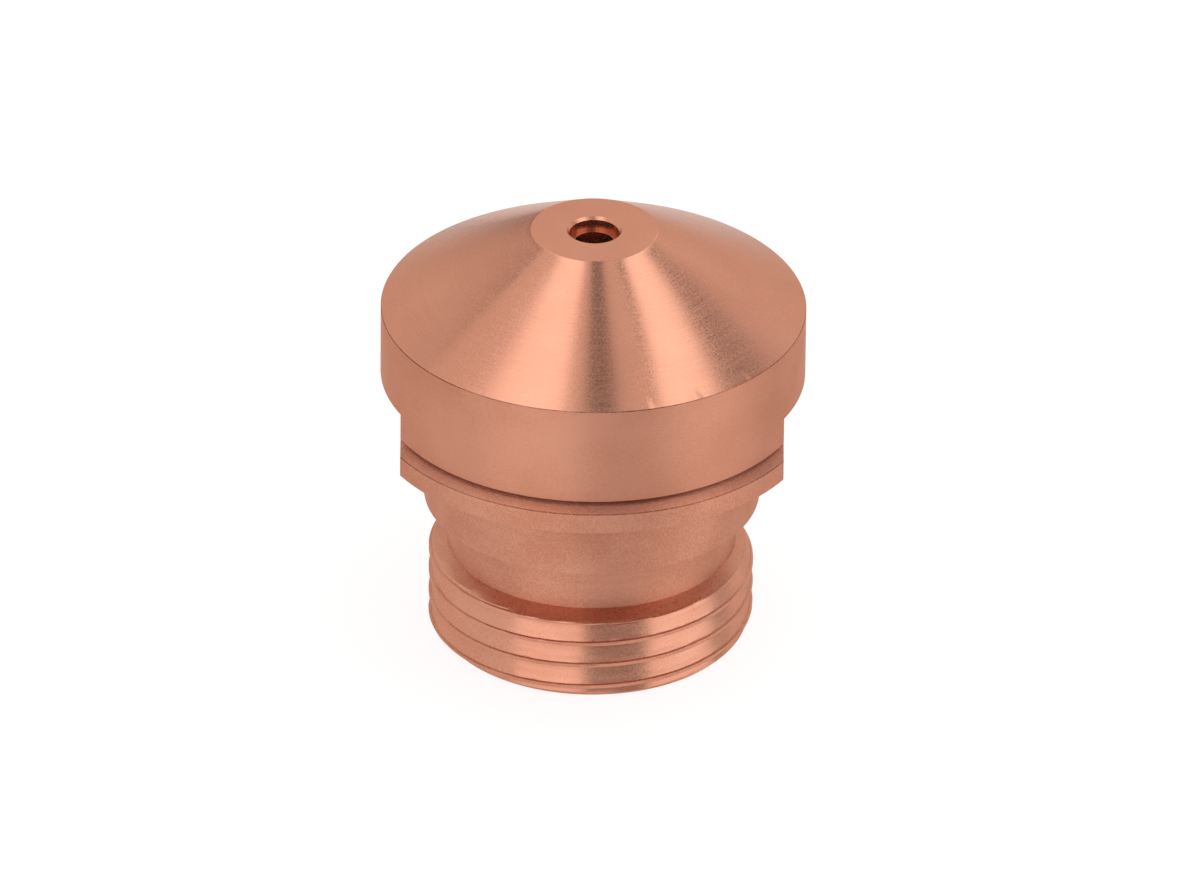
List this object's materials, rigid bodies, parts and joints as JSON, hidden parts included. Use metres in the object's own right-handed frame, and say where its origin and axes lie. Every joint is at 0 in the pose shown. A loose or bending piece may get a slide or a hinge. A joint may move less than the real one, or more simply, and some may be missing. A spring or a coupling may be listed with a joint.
{
  "type": "plasma cutting torch nozzle",
  "caption": "Turned copper nozzle of a plasma cutting torch: conical tip with a stepped orifice, rim, flanged collar with spanner flats, pilot and threaded shank.",
  "frame": {"origin": "centre of the threaded end face, on which the nozzle stands", "axes": "+Z along the turning axis, out of the tip; +X square to the spanner flats"},
  "size_m": [0.0258, 0.027, 0.0273],
  "materials": {
    "copper": "bare copper as turned, satin, with fine circumferential tool marks"
  },
  "bodies": {
    "root": {"nozzle": "copper"}
  },
  "joints": []
}
